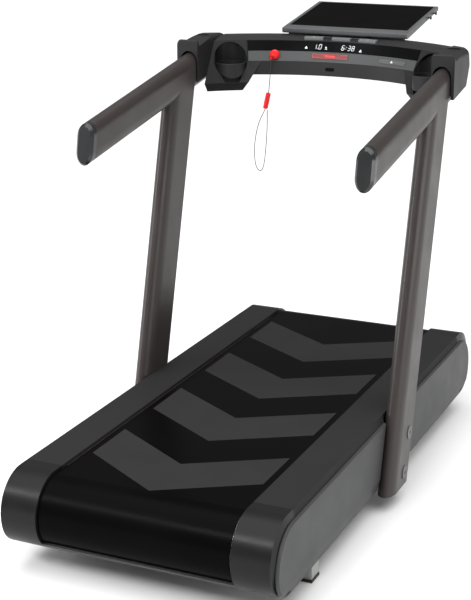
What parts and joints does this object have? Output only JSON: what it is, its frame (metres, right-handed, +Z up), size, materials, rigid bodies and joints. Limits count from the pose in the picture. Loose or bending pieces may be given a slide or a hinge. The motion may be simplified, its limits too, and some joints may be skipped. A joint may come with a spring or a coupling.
{
  "type": "treadmill",
  "caption": "Motorised flat-deck treadmill with foot rails, leaning uprights, long handrails, curved console with cup holders, device tray and clip-on safety key.",
  "frame": {"origin": "on the floor under the centre of the machine's bounding box, lanyard apart", "axes": "+X to the runner's right, +Y the way the runner faces, +Z up"},
  "size_m": [0.926, 1.8759, 1.3852],
  "materials": {
    "rail_plastic": "fine textured",
    "cap_plastic": "smooth satin",
    "panel_plastic": "fine spark-eroded",
    "belt_rubber": "woven-backed, fine diamond texture",
    "frame_paint": "black powder coat",
    "leg_metal": "silver grey powder coat",
    "post_metal": "grey brown satin",
    "deck_board": "waxed laminate",
    "steel": "turned",
    "roller_steel": "turned",
    "motor_metal": "black enamel",
    "pulley_metal": "machined",
    "rubber_black": "moulded",
    "bolt_plastic": "moulded",
    "cap_black": "moulded gloss",
    "console_plastic": "fine textured",
    "face_grey": "smooth satin",
    "display_gloss": "high gloss",
    "stop_red": "satin gloss",
    "key_grey": "satin",
    "key_red": "satin gloss",
    "tray_grey": "satin",
    "tray_mat": "moulded, matt",
    "cord_grey": "braided"
  },
  "bodies": {
    "base": {"base_pan": "frame_paint", "belt_lips": "cap_plastic", "console_ears": "console_plastic", "console_face": "face_grey", "console_shell": "console_plastic", "controller_box": "motor_metal", "cross_members": "frame_paint", "cup_liners": "rubber_black", "deck_board": "deck_board", "deck_cushions": "rubber_black", "display_window": "display_gloss", "drive_belt": "rubber_black", "foot_rail_left": "rail_plastic", "foot_rail_right": "rail_plastic", "frame_beams": "frame_paint", "front_bearings": "steel", "front_rail_caps": "cap_plastic", "handrail_caps": "cap_black", "handrail_left": "post_metal", "handrail_right": "post_metal", "lift_sleeves": "frame_paint", "motor_case": "motor_metal", "power_inlet": "rubber_black", "rear_axle": "steel", "rear_leg_pads": "rubber_black", "rear_legs": "leg_metal", "rear_rail_caps": "cap_plastic", "running_belt": "belt_rubber", "side_panel_left": "panel_plastic", "side_panel_right": "panel_plastic", "tray_bracket": "frame_paint", "upright_bolts": "bolt_plastic", "upright_brackets": "frame_paint", "upright_left": "post_metal", "upright_right": "post_metal", "wheel_forks": "frame_paint"},
    "rear_roller": {"rear_drum": "roller_steel", "rear_bearings": "steel"},
    "front_roller": {"front_drum": "roller_steel", "front_shaft": "steel", "front_pulley": "pulley_metal"},
    "motor_rotor": {"motor_shaft": "steel", "motor_pulley": "pulley_metal"},
    "lift_left": {"lift_leg_left": "leg_metal", "lift_foot_left": "rubber_black"},
    "lift_right": {"lift_leg_right": "leg_metal", "lift_foot_right": "rubber_black"},
    "wheel_left": {"transport_wheel_left": "rubber_black"},
    "wheel_right": {"transport_wheel_right": "rubber_black"},
    "rocker": {"power_switch": "stop_red"},
    "stop_button": {"stop_bar": "face_grey"},
    "speed_button": {"speed_pad": "cap_black"},
    "preset_button_left": {"preset_key_left": "key_grey"},
    "preset_button_middle": {"preset_key_middle": "key_grey"},
    "preset_button_right": {"preset_key_right": "key_grey"},
    "tray": {"tray_frame": "tray_grey", "tray_mat": "tray_mat"},
    "key": {"safety_key": "key_red", "lanyard_cord": "cord_grey", "lanyard_slider": "key_red"}
  },
  "joints": [
    {"name": "rear_roller_spin", "type": "hinge", "parent": "base", "child": "rear_roller", "pos_m": [0, -0.828, 0.1815], "axis": [1, 0, 0], "continuous": true},
    {"name": "front_roller_spin", "type": "hinge", "parent": "base", "child": "front_roller", "pos_m": [0, 0.746, 0.1815], "axis": [1, 0, 0], "continuous": true},
    {"name": "motor_spin", "type": "hinge", "parent": "base", "child": "motor_rotor", "pos_m": [0, 0.47, 0.165], "axis": [1, 0, 0], "continuous": true},
    {"name": "lift_left_slide", "type": "slide", "parent": "base", "child": "lift_left", "axis": [0, 0, -1], "range_m": [0, 0.12]},
    {"name": "lift_right_slide", "type": "slide", "parent": "base", "child": "lift_right", "axis": [0, 0, -1], "range_m": [0, 0.12]},
    {"name": "wheel_left_spin", "type": "hinge", "parent": "base", "child": "wheel_left", "pos_m": [-0.312, 0.727, 0.033], "axis": [1, 0, 0], "continuous": true},
    {"name": "wheel_right_spin", "type": "hinge", "parent": "base", "child": "wheel_right", "pos_m": [0.312, 0.727, 0.033], "axis": [1, 0, 0], "continuous": true},
    {"name": "switch_rock", "type": "hinge", "parent": "base", "child": "rocker", "pos_m": [-0.327, 0.849, 0.1815], "axis": [1, 0, 0], "range_deg": [0, 16]},
    {"name": "stop_press", "type": "slide", "parent": "base", "child": "stop_button", "axis": [-0.0454, 0.999, 0], "range_m": [0, 0.0025], "stiffness_N_per_m": 900, "springref_m": -0.0006},
    {"name": "speed_press", "type": "slide", "parent": "base", "child": "speed_button", "axis": [0.3363, 0.9418, 0], "range_m": [0, 0.0025], "stiffness_N_per_m": 900, "springref_m": -0.0006},
    {"name": "preset_left_press", "type": "slide", "parent": "base", "child": "preset_button_left", "axis": [0, 0, -1], "range_m": [0, 0.0025], "stiffness_N_per_m": 600, "springref_m": -0.0006},
    {"name": "preset_middle_press", "type": "slide", "parent": "base", "child": "preset_button_middle", "axis": [0, 0, -1], "range_m": [0, 0.0025], "stiffness_N_per_m": 600, "springref_m": -0.0006},
    {"name": "preset_right_press", "type": "slide", "parent": "base", "child": "preset_button_right", "axis": [0, 0, -1], "range_m": [0, 0.0025], "stiffness_N_per_m": 600, "springref_m": -0.0006},
    {"name": "tray_tilt", "type": "hinge", "parent": "base", "child": "tray", "pos_m": [0, 0.605, 1.3215], "axis": [1, 0, 0], "range_deg": [0, 35]},
    {"name": "key_pull", "type": "slide", "parent": "base", "child": "key", "axis": [0.3219, -0.8609, 0.3939], "range_m": [0, 0.06]}
  ],
  "couplings": [
    {"joint": "motor_spin", "follows": "front_roller_spin", "ratio": 3},
    {"joint": "rear_roller_spin", "follows": "front_roller_spin", "ratio": 1}
  ]
}
